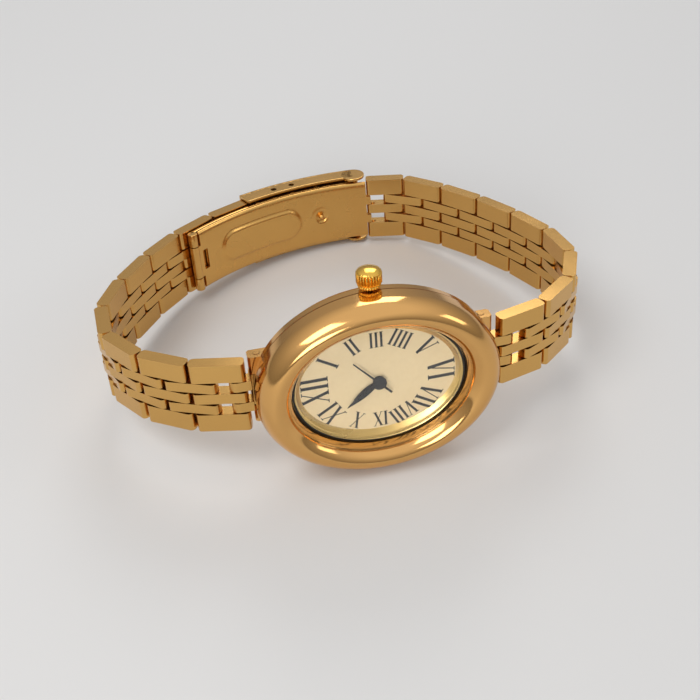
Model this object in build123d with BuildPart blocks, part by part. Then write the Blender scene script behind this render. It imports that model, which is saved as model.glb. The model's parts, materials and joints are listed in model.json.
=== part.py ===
"""Oval dress watch on a five-row link bracelet with a three-leaf folding clasp.

The watch is drawn with the dial surface at z = 0: +X points to 6 o'clock, +Y to the crown
and +Z out of the crystal. Every piece is then laid on its side, as the watch rests on a
table, with the crown up. Lengths are in millimetres and angles in degrees.
"""

import os
from math import asin, atan, atan2, cos, degrees, radians, sin, sqrt

from build123d import *

os.makedirs("parts", exist_ok=True)

# Case, where each oval is a circle drawn at its long half axis and narrowed by oval_ratio
case_length = 31.0
oval_ratio = 0.80
bezel_widest_height = 0.8
bezel_crest_height = 3.8
bezel_crest_inset = 2.2
bezel_rear_depth = 2.2
slope_run_share = 0.65
slope_fall_share = 0.2
bezel_rear_inset = 0.2
lip_inset = 4.4
lip_height = 0.95
lip_seat_height = 0.45
bezel_bore_inset = 3.6
band_depth = 4.0
band_inset = 0.5
band_taper = 1.0
case_wall_inset = 0.45
spigot_height = 1.3
back_inset = 2.1
back_flat_share = 0.5
back_thickness = 0.9
back_bevel = 0.6
back_lip_height = 0.4
back_lip_wall = 0.6
gasket_width = 0.6
gasket_height = 0.4
gasket_wall = 0.3
fit_clearance = 0.04

# Crystal, dial and the ring between them
crystal_thickness = 0.8
crystal_edge_top_height = 1.1
crystal_dome = 0.95
crystal_seat = 0.5
dial_thickness = 0.4
dial_view_inset = 1.15
dial_view_side_inset = 1.53
dial_bore_radius = 0.65
ring_top_inset = 0.6
ring_top_side_inset = 0.58

# Movement, its holder and the battery
movement_end_inset = 3.45
movement_side_inset = 2.56
movement_thickness = 3.0
battery_side_inset = 2.65
battery_thickness = 1.65
battery_rise = 0.15
battery_offset_share = 0.3
centre_well_depth = 1.2
hour_tube_share = 0.5
minute_tube_share = 0.75

# Hands, stacked from the dial up
hand_thickness = 0.12
hand_gap = 0.10
hour_height = 0.20
hour_hand_length = 3.9
minute_hand_length = 5.2
second_hand_length = 4.7
second_tail_length = 2.2
leaf_width = 0.8
leaf_share = 0.45
second_hand_width = 0.14
tube_wall = 0.16
second_post_radius = 0.12
hub_radius = 0.75
cap_radius = 0.9
cap_height = 0.22
cap_share = 0.7
shown_hour = 10
shown_minute = 54
shown_second = 8

# Crown, stem and setting lever
crown_radius = 1.6
crown_length = 1.6
crown_dome = 0.8
crown_flutes = 14
crown_flute_depth = 0.14
crown_flute_width = 0.3
crown_standoff = 0.15
crown_socket_depth = 1.0
stem_radius = 0.35
stem_neck_radius = 0.22
stem_start_inset = 3.6
stem_depth = 1.9
stem_tube_radius = 0.5
lever_travel = 0.8
lever_length = 1.6
lever_width = 2.0
lever_height = 1.7
lever_wall = 0.35
lever_clearance = 0.15
lever_inset = 2.3

# Lugs, spring bars and end links
lug_overrun = 0.1
lug_width = 2.45
lug_gap = 4.9
lug_root_inset = 3.1
lug_nose = 0.3
lug_bar_inset = 1.1
lug_bar_depth = 3.15
spring_bar_radius = 0.4
end_link_overrun = 0.25
end_link_gap = 0.15
end_link_drop = 0.2

# Bracelet
bracelet_width = 10.0
middle_row_width = 1.46
inner_row_width = 1.36
row_gap = 0.18
link_thickness = 1.8
pin_sides = 6
rod_sides = 12
pivot_pitch = 3.45
first_pitch = 3.9
first_overhang = 1.3
link_end_gap = 0.2
corner_cut = 0.5
pin_radius = 0.4
pin_clearance = 0.03
first_pivot_overrun = 1.9
first_pivot_depth = 2.0
left_free_bends = (13.7, 11.4, 9.9, 10.1, 11.7, 14.2, 15.8, 15.0, 11.4, 6.9, 3.9, 3.5, 4.5, 6.2)
right_bends = (
    15.9, 12.8, 11.3, 11.9, 14.0, 15.6, 14.4, 10.5, 5.7,
    3.5, 3.5, 3.5, 3.5, 3.5, 5.0, 11.7, 19.9,
)
clasp_link_count = 4
clasp_curve_radius = 40.35

# Clasp, whose leaves follow circles about one centre
leaf_half_width = 4.75
leaf_thickness = 0.5
leaf_gap = 0.2
strap_gap = 0.25
cover_gap = 0.15
cover_thickness = 0.5
cover_wall = 0.4
cover_side_gap = 0.1
cover_wall_depth = 2.25
cover_overhang = 2.2
cover_hinge_inset = 2.9
cover_hinge_depth = 0.3
hinge_ear_radius = 0.8
hinge_pin_radius = 0.4
fold_reach = 13.3
fold_knuckle_radius = 0.7
fold_pin_radius = 0.3
knuckle_half_width = 2.6
knuckle_gap = 0.1
running_clearance = 0.05
tab_half_width = 1.2
tab_length = 1.8
snap_pin_radius = 0.35
snap_share = 0.62
window_half_width = 1.7
window_length = 4.6
recess_length = 14.0
recess_width = 4.8
recess_depth = 0.2
recess_offset = 1.2
snap_pit_radius = 0.8
hole_radius = 0.45
adjusting_pitch = 3.0
adjusting_hole_count = 2

# Safety catch on the outside of the cover
catch_width = 3.2
catch_length = 5.0
catch_thickness = 0.5
catch_gap = 0.15
catch_lip = 1.6
catch_lip_lean = 0.8
catch_knuckle_radius = 0.6
catch_pin_radius = 0.25
catch_ear_width = 0.8
catch_share = 0.55

# Derived sizes
half_length = case_length / 2
lip_radius = half_length - lip_inset
bezel_bore_radius = half_length - bezel_bore_inset
back_radius = half_length - back_inset
lug_reach = half_length + lug_overrun
lug_root = half_length - lug_root_inset
lug_bar_reach = half_length - lug_bar_inset
end_link_root = back_radius
end_link_shoulder = half_length + end_link_overrun
first_pivot_reach = half_length + first_pivot_overrun
back_depth = band_depth + back_thickness
bore_radius = bezel_bore_radius - case_wall_inset
dial_view_length = 2 * (lip_radius - dial_view_inset)
dial_view_height = 2 * (lip_radius * oval_ratio - dial_view_side_inset)
ring_top_length = 2 * (lip_radius - ring_top_inset)
ring_top_height = 2 * (lip_radius * oval_ratio - ring_top_side_inset)
movement_length = 2 * (bore_radius - movement_end_inset)
movement_width = 2 * (bore_radius * oval_ratio - movement_side_inset)
battery_radius = movement_width / 2 - battery_side_inset
battery_offset = movement_width / 2 * battery_offset_share
stem_start = movement_width / 2 - stem_start_inset
lever_reach = movement_width / 2 - lever_inset
half_thickness = link_thickness / 2
overhang = (pivot_pitch - link_end_gap) / 2
middle_edge = middle_row_width / 2
inner_start = middle_edge + row_gap
inner_end = inner_start + inner_row_width
outer_start = inner_end + row_gap
outer_end = bracelet_width / 2
hole_apothem = pin_radius + pin_clearance
middle_row = (-middle_edge, middle_edge)
inner_rows = ((inner_start, inner_end), (-inner_end, -inner_start))
outer_rows = ((outer_start, outer_end), (-outer_end, -outer_start))


# Bracelet line, in the X and Z plane, from the case round to the clasp
def point_on(pivot, heading, side, reach, rise=0):
    """Point reach along a link and rise out of its mid-line."""
    along = (side * cos(radians(heading)), -sin(radians(heading)))
    out = (side * sin(radians(heading)), cos(radians(heading)))
    return (
        pivot[0] + along[0] * reach + out[0] * rise,
        pivot[1] + along[1] * reach + out[1] * rise,
    )


def walk(side, bends):
    """Pivots and headings of one half of the bracelet."""
    pivots = [(side * first_pivot_reach, -first_pivot_depth)]
    headings = []
    heading = 0
    for number, bend in enumerate(bends):
        heading += bend
        headings.append(heading)
        length = first_pitch if number == 0 else pivot_pitch
        pivots.append(point_on(pivots[-1], heading, side, length))
    return pivots, headings


clasp_step = degrees(2 * asin(pivot_pitch / 2 / clasp_curve_radius))
left_bends = left_free_bends + (clasp_step,) * clasp_link_count
left_pivots, left_headings = walk(-1, left_bends)
right_pivots, right_headings = walk(1, right_bends)
cover_bar = left_pivots[-1]
free_bar = right_pivots[-1]

# Centre of the clasp's curves, on the inner side of the last left link
curve_sagitta = sqrt(clasp_curve_radius**2 - (pivot_pitch / 2) ** 2)
curve_centre = point_on(left_pivots[-2], left_headings[-1], -1, pivot_pitch / 2, -curve_sagitta)
strap_inner_radius = clasp_curve_radius - half_thickness
strap_outer_radius = clasp_curve_radius + half_thickness
middle_outer = strap_inner_radius - strap_gap
middle_inner = middle_outer - leaf_thickness
inner_outer = middle_inner - leaf_gap
inner_inner = inner_outer - leaf_thickness
cover_inner = strap_outer_radius + cover_gap
cover_outer = cover_inner + cover_thickness
cover_side = outer_end + cover_side_gap
cover_half_width = cover_side + cover_wall


def angle_of(point):
    """Angle of a point about the centre of the clasp's curves."""
    return degrees(atan2(point[1] - curve_centre[1], point[0] - curve_centre[0]))


def on_curve(radius, angle):
    """Point at a radius and angle about the centre of the clasp's curves."""
    return (
        curve_centre[0] + radius * cos(radians(angle)),
        curve_centre[1] + radius * sin(radians(angle)),
    )


def sweep_of(length, radius=clasp_curve_radius):
    """Angle that a length takes up along one of the clasp's curves."""
    return degrees(length / radius)


bar_angle = angle_of(cover_bar)
free_bar_angle = angle_of(free_bar)
hinge_angle = free_bar_angle - sweep_of(cover_hinge_inset)
hinge_radius = clasp_curve_radius - cover_hinge_depth
hinge_point = on_curve(hinge_radius, hinge_angle)
fold_radius = (middle_inner + inner_outer) / 2
fold_angle = bar_angle - sweep_of(fold_reach, fold_radius)
fold_point = on_curve(fold_radius, fold_angle)

# The watch lies on the low side of its case and on the edge of its clasp
rest_edge = half_length * oval_ratio - bezel_rear_inset
cover_reach = cover_outer - curve_centre[1]
lie_angle = degrees(atan((rest_edge - cover_half_width) / (cover_reach - bezel_rear_depth)))
lying = Location((0, 0, 0), (90 - lie_angle, 0, 0))
laid_pieces = {}


def lay(piece, name):
    """Lay a finished piece on its side, as the watch lies, and keep it by name."""
    laid_pieces[name] = piece.part.moved(lying)


def turned(points):
    """Turn an outline of radius and height points about Z and narrow it to the case's oval."""
    with BuildSketch(Plane.XZ) as outline:
        with BuildLine():
            Polyline(*points, close=True)
        make_face()
    revolve(outline.sketch, axis=Axis.Z)
    scale(by=(1, oval_ratio, 1))


def ring(outer, inner, low, high, mode=Mode.ADD):
    """Straight-walled oval ring between two heights."""
    with BuildSketch(Plane.XY.offset(low)) as outline:
        Ellipse(outer, outer * oval_ratio)
        if inner:
            Ellipse(inner, inner * oval_ratio, mode=Mode.SUBTRACT)
    extrude(outline.sketch, amount=high - low, mode=mode)


def disc(radius, low, high, mode=Mode.ADD):
    """Round disc about Z between two heights."""
    with BuildSketch(Plane.XY.offset(low)) as outline:
        Circle(radius)
    extrude(outline.sketch, amount=high - low, mode=mode)


def stem_bore(radius, low, high):
    """Cut the stem's round way along Y between two heights."""
    with BuildSketch(Plane.XZ.offset(-low)) as outline:
        with Locations((0, -stem_depth)):
            Circle(radius)
    extrude(outline.sketch, amount=low - high, mode=Mode.SUBTRACT)


# Bezel: a rounded oval ring, high at its crest and falling steeply to the crystal
with BuildPart() as bezel:
    outer_foot = (half_length - bezel_rear_inset, -bezel_rear_depth)
    widest = (half_length, bezel_widest_height)
    crest = (half_length - bezel_crest_inset, bezel_crest_height)
    lip = (lip_radius, lip_height)
    inner_slope = (
        crest[0] - slope_run_share * bezel_crest_inset,
        crest[1] - slope_fall_share * bezel_crest_height,
    )
    with BuildSketch(Plane.XZ) as bezel_outline:
        with BuildLine():
            Line(outer_foot, widest)
            TangentArc(widest, crest, tangent=(crest[0] - widest[0], 2 * (crest[1] - widest[1])))
            ThreePointArc(crest, inner_slope, lip)
            Polyline(
                lip,
                (lip_radius, lip_seat_height),
                (bezel_bore_radius, lip_seat_height),
                (bezel_bore_radius, -bezel_rear_depth),
                outer_foot,
            )
        make_face()
    revolve(bezel_outline.sketch, axis=Axis.Z)
    scale(by=(1, oval_ratio, 1))
    stem_bore(stem_tube_radius, 0, case_length)
lay(bezel, "bezel")

# Mid-case: the band behind the bezel, with two lugs at each end
spigot_radius = bezel_bore_radius - fit_clearance
band_radius = half_length - band_inset
band_rear_radius = band_radius - band_taper
groove_outer = back_radius - gasket_wall
groove_inner = groove_outer - gasket_width
with BuildPart() as mid_case:
    turned(
        (
            (bore_radius, spigot_height - bezel_rear_depth),
            (spigot_radius, spigot_height - bezel_rear_depth),
            (spigot_radius, -bezel_rear_depth),
            (band_radius, -bezel_rear_depth),
            (band_rear_radius, -band_depth),
            (bore_radius, -band_depth),
        )
    )
    for end in (-1, 1):
        for edge in (lug_gap / 2, -lug_gap / 2 - lug_width):
            with BuildSketch(Plane.XZ.offset(-edge)) as lug:
                with BuildLine():
                    Polyline(
                        (end * lug_root, -bezel_rear_depth),
                        (end * (half_length - bezel_rear_inset), -bezel_rear_depth),
                        (end * lug_reach, -bezel_rear_depth - lug_nose),
                        (end * lug_reach, -band_depth + lug_nose),
                        (end * (lug_reach - lug_nose), -band_depth),
                        (end * lug_root, -band_depth),
                        close=True,
                    )
                make_face()
            extrude(lug.sketch, amount=-lug_width)
        with BuildSketch(Plane.XY.offset(-band_depth)) as notch:
            with Locations((end * (end_link_root - end_link_gap + case_length / 2), 0)):
                Rectangle(case_length, lug_gap)
        extrude(notch.sketch, amount=band_depth - bezel_rear_depth, mode=Mode.SUBTRACT)
        with BuildSketch(Plane.XZ.offset(-outer_end)) as bar_way:
            with Locations((end * lug_bar_reach, -lug_bar_depth)):
                RegularPolygon(spring_bar_radius + fit_clearance, rod_sides, major_radius=False)
        extrude(bar_way.sketch, amount=bracelet_width, mode=Mode.SUBTRACT)
    ring(groove_outer, groove_inner, -band_depth, gasket_height - band_depth, mode=Mode.SUBTRACT)
    stem_bore(stem_tube_radius, 0, case_length)
lay(mid_case, "mid_case")

# Case back with its locating lip, and its gasket
with BuildPart() as case_back:
    lip_outer = bore_radius - fit_clearance
    bevel_start = -band_depth - back_thickness * back_flat_share
    ring(back_radius, 0, bevel_start, -band_depth)
    ring(lip_outer, lip_outer - back_lip_wall, -band_depth, back_lip_height - band_depth)
    with BuildSketch(Plane.XY.offset(-back_depth)) as flat_face:
        Ellipse(back_radius - back_bevel, (back_radius - back_bevel) * oval_ratio)
    with BuildSketch(Plane.XY.offset(bevel_start)) as bevel_foot:
        Ellipse(back_radius, back_radius * oval_ratio)
    loft([flat_face.sketch, bevel_foot.sketch])
lay(case_back, "case_back")

with BuildPart() as back_gasket:
    ring(groove_outer - fit_clearance, groove_inner + fit_clearance, -band_depth, gasket_height - band_depth)
lay(back_gasket, "back_gasket")

# Crystal: a domed oval glass in a gasket, on the seat above the dial
seal_outer = lip_radius - fit_clearance
crystal_radius = seal_outer - gasket_wall
with BuildPart() as crystal:
    with BuildSketch(Plane.XZ) as crystal_outline:
        with BuildLine():
            low_edge = (crystal_radius, crystal_seat)
            low_centre = (0, crystal_seat + crystal_dome)
            high_edge = (crystal_radius, crystal_edge_top_height)
            high_centre = (0, crystal_seat + crystal_dome + crystal_thickness)
            Line(low_edge, high_edge)
            TangentArc(high_centre, high_edge, tangent=(1, 0))
            Line(high_centre, low_centre)
            TangentArc(low_centre, low_edge, tangent=(1, 0))
        make_face()
    revolve(crystal_outline.sketch, axis=Axis.Z)
    scale(by=(1, oval_ratio, 1))
lay(crystal, "crystal")

with BuildPart() as crystal_gasket:
    ring(seal_outer, crystal_radius + fit_clearance, crystal_seat, lip_height)
lay(crystal_gasket, "crystal_gasket")

# Sloped ring between the dial and the crystal
with BuildPart() as rehaut_ring:
    ring(bezel_bore_radius - fit_clearance, 0, 0, lip_seat_height)
    with BuildSketch(Plane.XY) as view:
        Ellipse(dial_view_length / 2, dial_view_height / 2)
    with BuildSketch(Plane.XY.offset(lip_seat_height)) as top:
        Ellipse(ring_top_length / 2, ring_top_height / 2)
    loft([view.sketch, top.sketch], mode=Mode.SUBTRACT)
lay(rehaut_ring, "rehaut_ring")

# Dial, with a bore for the hands' tubes
with BuildPart() as dial:
    ring(bore_radius - fit_clearance, 0, -dial_thickness, 0)
    disc(dial_bore_radius, -dial_thickness, 0, mode=Mode.SUBTRACT)
lay(dial, "dial")

# Movement: an oval module with a centre well, a stem way, a lever pocket and a battery bay
movement_back = dial_thickness + movement_thickness
lever_top = stem_depth - stem_radius - lever_wall
with BuildPart() as movement:
    with BuildSketch(Plane.XY.offset(-movement_back)):
        Ellipse(movement_length / 2, movement_width / 2)
    extrude(amount=movement_thickness)
    disc(dial_bore_radius, -dial_thickness - centre_well_depth, -dial_thickness, mode=Mode.SUBTRACT)
    with BuildSketch(Plane.XY.offset(-movement_back)):
        with Locations((0, -battery_offset)):
            Circle(battery_radius + fit_clearance)
    extrude(amount=battery_thickness - battery_rise, mode=Mode.SUBTRACT)
    stem_bore(stem_radius + running_clearance, stem_start - lever_clearance, movement_width)
    with BuildSketch(Plane.XY.offset(-movement_back)):
        with Locations((0, lever_reach + lever_travel / 2)):
            Rectangle(lever_width + 2 * lever_clearance, lever_length + lever_travel + 2 * lever_clearance)
    extrude(amount=movement_back - lever_top + lever_clearance, mode=Mode.SUBTRACT)
lay(movement, "movement")

with BuildPart() as battery:
    with BuildSketch(Plane.XY.offset(-movement_back - battery_rise)):
        with Locations((0, -battery_offset)):
            Circle(battery_radius)
    extrude(amount=battery_thickness)
lay(battery, "battery")

# Holder that locates the movement in the case, under the dial
holder_back = band_depth - back_lip_height
with BuildPart() as movement_holder:
    ring(bore_radius - fit_clearance, 0, -holder_back, -dial_thickness)
    with BuildSketch(Plane.XY.offset(-holder_back)):
        Ellipse(movement_length / 2 + fit_clearance, movement_width / 2 + fit_clearance)
    extrude(amount=holder_back - dial_thickness, mode=Mode.SUBTRACT)
    stem_bore(stem_tube_radius, 0, case_length)
lay(movement_holder, "movement_holder")

# Hands: each has a leaf or needle and a tube, one inside the other
second_angle = shown_second * 6
minute_angle = shown_minute * 6
hour_angle = shown_hour * 30 + shown_minute / 2
minute_tube_bore = second_post_radius + running_clearance
minute_tube_radius = minute_tube_bore + tube_wall
hour_tube_bore = minute_tube_radius + running_clearance
hour_tube_radius = hour_tube_bore + tube_wall
minute_height = hour_height + hand_thickness + hand_gap
second_height = minute_height + hand_thickness + hand_gap
well_floor = -dial_thickness - centre_well_depth


def clock_plane(angle, height):
    """Plane whose X runs from the centre to a clock angle."""
    return Plane((0, 0, height), x_dir=(-cos(radians(angle)), sin(radians(angle)), 0), z_dir=(0, 0, 1))


def leaf(angle, height, length):
    """Leaf-shaped hand with a round hub."""
    with BuildSketch(clock_plane(angle, height)) as outline:
        with BuildLine():
            ThreePointArc((0, 0), (length * leaf_share, leaf_width / 2), (length, 0))
            ThreePointArc((length, 0), (length * leaf_share, -leaf_width / 2), (0, 0))
        make_face()
        Circle(hub_radius)
    extrude(outline.sketch, amount=hand_thickness)


with BuildPart() as hour_hand:
    leaf(hour_angle, hour_height, hour_hand_length)
    disc(hour_tube_radius, well_floor * hour_tube_share, hour_height)
    disc(hour_tube_bore, well_floor, hour_height + hand_thickness, mode=Mode.SUBTRACT)
lay(hour_hand, "hour_hand")

with BuildPart() as minute_hand:
    leaf(minute_angle, minute_height, minute_hand_length)
    disc(minute_tube_radius, well_floor * minute_tube_share, minute_height)
    disc(minute_tube_bore, well_floor, minute_height + hand_thickness, mode=Mode.SUBTRACT)
lay(minute_hand, "minute_hand")

with BuildPart() as second_hand:
    with BuildSketch(clock_plane(second_angle, second_height)):
        with BuildLine():
            Polyline(
                (-second_tail_length, second_hand_width),
                (-second_tail_length, -second_hand_width),
                (second_hand_length, -second_hand_width / 2),
                (second_hand_length, second_hand_width / 2),
                close=True,
            )
        make_face()
    extrude(amount=hand_thickness)
    cap_foot = second_height + hand_thickness
    with BuildSketch(Plane.XZ) as cap:
        with BuildLine():
            Polyline((0, second_height), (cap_radius, second_height), (cap_radius, cap_foot))
            ThreePointArc(
                (cap_radius, cap_foot),
                (cap_radius * cap_share, cap_foot + cap_height * cap_share),
                (0, cap_foot + cap_height),
            )
            Line((0, cap_foot + cap_height), (0, second_height))
        make_face()
    revolve(cap.sketch, axis=Axis.Z)
    disc(second_post_radius, well_floor + running_clearance, second_height)
lay(second_hand, "second_hand")

# Crown: fluted collar and a domed cap, on a necked stem held by the setting lever
crown_start = half_length * oval_ratio + crown_standoff
stem_end = crown_start + crown_socket_depth
with BuildPart() as crown:
    with BuildSketch(Plane.XZ.offset(-crown_start)) as collar:
        with Locations((0, -stem_depth)):
            Circle(crown_radius)
        with Locations((0, -stem_depth)):
            with PolarLocations(crown_radius, crown_flutes):
                Rectangle(2 * crown_flute_depth, crown_flute_width, mode=Mode.SUBTRACT)
    extrude(collar.sketch, amount=-crown_length)
    dome_foot = crown_start + crown_length
    with BuildSketch(Plane.YZ) as dome:
        with BuildLine():
            foot = (dome_foot, crown_radius - crown_flute_depth - stem_depth)
            tip = (dome_foot + crown_dome, -stem_depth)
            TangentArc(tip, foot, tangent=(0, 1))
            Polyline(foot, (dome_foot, -stem_depth), tip)
        make_face()
    revolve(dome.sketch, axis=Axis((0, 0, -stem_depth), (0, 1, 0)))
    with BuildSketch(Plane.XZ.offset(-crown_start)) as socket:
        with Locations((0, -stem_depth)):
            Circle(stem_radius)
    extrude(socket.sketch, amount=-crown_socket_depth, mode=Mode.SUBTRACT)
lay(crown, "crown")

neck_start = lever_reach - lever_length / 2 - running_clearance
neck_end = lever_reach + lever_length / 2 + running_clearance
with BuildPart() as stem:
    with BuildSketch(Plane.YZ) as stem_outline:
        with BuildLine():
            Polyline(
                (stem_start, -stem_depth),
                (stem_start, stem_radius - stem_depth),
                (neck_start, stem_radius - stem_depth),
                (neck_start, stem_neck_radius - stem_depth),
                (neck_end, stem_neck_radius - stem_depth),
                (neck_end, stem_radius - stem_depth),
                (stem_end, stem_radius - stem_depth),
                (stem_end, -stem_depth),
                close=True,
            )
        make_face()
    revolve(stem_outline.sketch, axis=Axis((0, 0, -stem_depth), (0, 1, 0)))
lay(stem, "stem")

with BuildPart() as setting_lever:
    with BuildSketch(Plane.XZ.offset(lever_length / 2 - lever_reach)) as lever:
        with Locations((0, -lever_top - lever_height / 2)):
            Rectangle(lever_width, lever_height)
        with Locations((0, -stem_depth)):
            Circle(stem_neck_radius + running_clearance, mode=Mode.SUBTRACT)
    extrude(lever.sketch, amount=-lever_length)
lay(setting_lever, "setting_lever")

# End links between the lugs, and the spring bars that hold them
with BuildPart() as lug_spring_bars:
    for end in (-1, 1):
        with BuildSketch(Plane.XZ.offset(-outer_end + fit_clearance)) as bar:
            with Locations((end * lug_bar_reach, -lug_bar_depth)):
                RegularPolygon(spring_bar_radius, rod_sides)
        extrude(bar.sketch, amount=bracelet_width - 2 * fit_clearance)
lay(lug_spring_bars, "lug_spring_bars")

end_link_front = bezel_rear_depth + end_link_drop
end_link_rear = band_depth
bar_bore = spring_bar_radius + fit_clearance
with BuildPart() as end_links:
    for end in (-1, 1):
        body_points = (
            (end * end_link_root, -end_link_front),
            (end * (half_length - bezel_rear_inset + end_link_gap), -end_link_front),
            (end * end_link_shoulder, -first_pivot_depth + half_thickness),
        )
        tail_points = (
            (end * (end_link_shoulder - end_link_gap), -end_link_rear),
            (end * end_link_root, -end_link_rear),
        )
        low_shoulder = (end * end_link_shoulder, -first_pivot_depth - half_thickness)
        with BuildSketch(Plane.XZ.offset(-inner_end)) as body:
            with BuildLine():
                Polyline(*body_points, low_shoulder, *tail_points, close=True)
            make_face()
            with Locations((end * lug_bar_reach, -lug_bar_depth)):
                RegularPolygon(bar_bore, rod_sides, major_radius=False, mode=Mode.SUBTRACT)
        extrude(body.sketch, amount=2 * inner_end)
        for low, high in inner_rows:
            with BuildSketch(Plane.XZ.offset(-low)) as tongue:
                with BuildLine():
                    Polyline(
                        (end * (end_link_shoulder - end_link_gap), -first_pivot_depth + half_thickness),
                        (end * first_pivot_reach, -first_pivot_depth + half_thickness),
                        (end * first_pivot_reach, -first_pivot_depth - half_thickness),
                        (end * (end_link_shoulder - end_link_gap), -first_pivot_depth - half_thickness),
                        close=True,
                    )
                make_face()
                with Locations((end * first_pivot_reach, -first_pivot_depth)):
                    RegularPolygon(half_thickness, rod_sides)
                    RegularPolygon(hole_apothem, pin_sides, major_radius=False, mode=Mode.SUBTRACT)
            extrude(tongue.sketch, amount=low - high)
lay(end_links, "end_links")


# Bracelet links: rows of bars on two pivots, an outer link's three rows carrying the pins
def link_plane(pivot, heading, side, offset=0):
    """Plane along a link, with its origin on the first pivot and Y out of the wrist."""
    return Plane(
        (pivot[0], -side * offset, pivot[1]),
        x_dir=(side * cos(radians(heading)), 0, -sin(radians(heading))),
        z_dir=(0, -side, 0),
    )


def bar_points(start, end):
    """Points round one row of a link, with each corner cut."""
    upper = [(start, half_thickness - corner_cut), (start + corner_cut, half_thickness)]
    upper += [(end - corner_cut, half_thickness), (end, half_thickness - corner_cut)]
    return upper + [(along, -rise) for along, rise in reversed(upper)]


def rows(place, spans, start, end, holes=()):
    """Bars of a link at each span of its width, bored where it turns on a neighbour's pins."""
    pivot, heading, side = place
    for low, high in spans:
        with BuildSketch(link_plane(pivot, heading, side, low)) as outline:
            with BuildLine():
                Polyline(*bar_points(start, end), close=True)
            make_face()
            for hole in holes:
                with Locations((hole, 0)):
                    RegularPolygon(hole_apothem, pin_sides, major_radius=False, mode=Mode.SUBTRACT)
        extrude(outline.sketch, amount=high - low)


def pins(place, pitch):
    """Two pins across a link."""
    pivot, heading, side = place
    with BuildSketch(link_plane(pivot, heading, side, -inner_end - row_gap)) as outline:
        with Locations((0, 0), (pitch, 0)):
            RegularPolygon(pin_radius, pin_sides)
    extrude(outline.sketch, amount=2 * (inner_end + row_gap))


for half, side, pivots, headings in (
    ("left", -1, left_pivots, left_headings),
    ("right", 1, right_pivots, right_headings),
):
    for number, (pivot, heading) in enumerate(zip(pivots, headings)):
        place = (pivot, heading, side)
        pitch = first_pitch if number == 0 else pivot_pitch
        start = -first_overhang if number == 0 else -overhang
        end = pitch + (half_thickness if pivots[number + 1] == free_bar else overhang)
        with BuildPart() as link:
            if number % 2 == 0:
                rows(place, outer_rows + (middle_row,), start, end)
                pins(place, pitch)
            else:
                rows(place, inner_rows, start, end, holes=(0, pitch))
        kind = "pinned" if number % 2 == 0 else "paired"
        lay(link, f"{half}_link_{number + 1:02d}_{kind}")


# Clasp: plates bent to circles about one centre
def arc_plate(inner, outer, low_angle, high_angle, low, high, mode=Mode.ADD):
    """Curved plate between two radii, two angles and two distances across the strap."""
    with BuildSketch(Plane.XZ.offset(-low)) as outline:
        with BuildLine():
            CenterArc(curve_centre, inner, low_angle, high_angle - low_angle)
            CenterArc(curve_centre, outer, low_angle, high_angle - low_angle)
            Line(on_curve(inner, low_angle), on_curve(outer, low_angle))
            Line(on_curve(inner, high_angle), on_curve(outer, high_angle))
        make_face()
    extrude(outline.sketch, amount=low - high, mode=mode)


def rod(point, radius, low, high, mode=Mode.ADD):
    """Round rod or bore across the strap."""
    with BuildSketch(Plane.XZ.offset(-low)) as outline:
        with Locations(point):
            Circle(radius)
    extrude(outline.sketch, amount=low - high, mode=mode)


def web(points, low, high):
    """Flat-sided web across the strap through points of the side view."""
    with BuildSketch(Plane.XZ.offset(-low)) as outline:
        with BuildLine():
            Polyline(*points, close=True)
        make_face()
    extrude(outline.sketch, amount=low - high)


cover_start = bar_angle - sweep_of(cover_overhang)
cover_end = hinge_angle
wall_inner = cover_inner - cover_wall_depth
snap_angle = bar_angle + (hinge_angle - bar_angle) * snap_share
snap_point = on_curve(cover_inner - snap_pin_radius, snap_angle)
catch_radius = cover_outer + catch_gap + catch_knuckle_radius
catch_angle = bar_angle + (hinge_angle - bar_angle) * catch_share
catch_point = on_curve(catch_radius, catch_angle)
catch_half_width = catch_width / 2
ear_start = catch_half_width + knuckle_gap
ear_end = ear_start + catch_ear_width

with BuildPart() as clasp_cover:
    arc_plate(cover_inner, cover_outer, cover_start, cover_end, -cover_half_width, cover_half_width)
    for low, high in ((cover_side, cover_half_width), (-cover_half_width, -cover_side)):
        arc_plate(wall_inner, cover_inner, cover_start, cover_end, low, high)
        rod(hinge_point, cover_outer - hinge_radius, low, high)
    for low, high in ((ear_start, ear_end), (-ear_end, -ear_start)):
        rod(catch_point, catch_knuckle_radius, low, high)
        web(
            (
                on_curve(cover_inner, catch_angle - sweep_of(catch_knuckle_radius)),
                on_curve(catch_radius, catch_angle - sweep_of(catch_knuckle_radius)),
                on_curve(catch_radius, catch_angle + sweep_of(catch_knuckle_radius)),
                on_curve(cover_inner, catch_angle + sweep_of(catch_knuckle_radius)),
            ),
            low,
            high,
        )
    rod(catch_point, catch_pin_radius, -ear_end, ear_end, mode=Mode.SUBTRACT)
    rod(hinge_point, hinge_pin_radius, -cover_half_width, cover_half_width, mode=Mode.SUBTRACT)
    rod(cover_bar, pin_radius, -cover_half_width, cover_half_width, mode=Mode.SUBTRACT)
    for step in range(1, adjusting_hole_count + 1):
        hole_point = on_curve(clasp_curve_radius, bar_angle + sweep_of(adjusting_pitch) * step)
        rod(hole_point, hole_radius, -cover_half_width, cover_half_width, Mode.SUBTRACT)
lay(clasp_cover, "clasp_cover")

with BuildPart() as clasp_cover_pins:
    rod(hinge_point, hinge_pin_radius, -cover_half_width, cover_half_width)
    rod(cover_bar, pin_radius, -cover_half_width, cover_half_width)
    rod(snap_point, snap_pin_radius, -cover_side, cover_side)
    rod(catch_point, catch_pin_radius, -ear_end, ear_end)
lay(clasp_cover_pins, "clasp_cover_pins")

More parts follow.
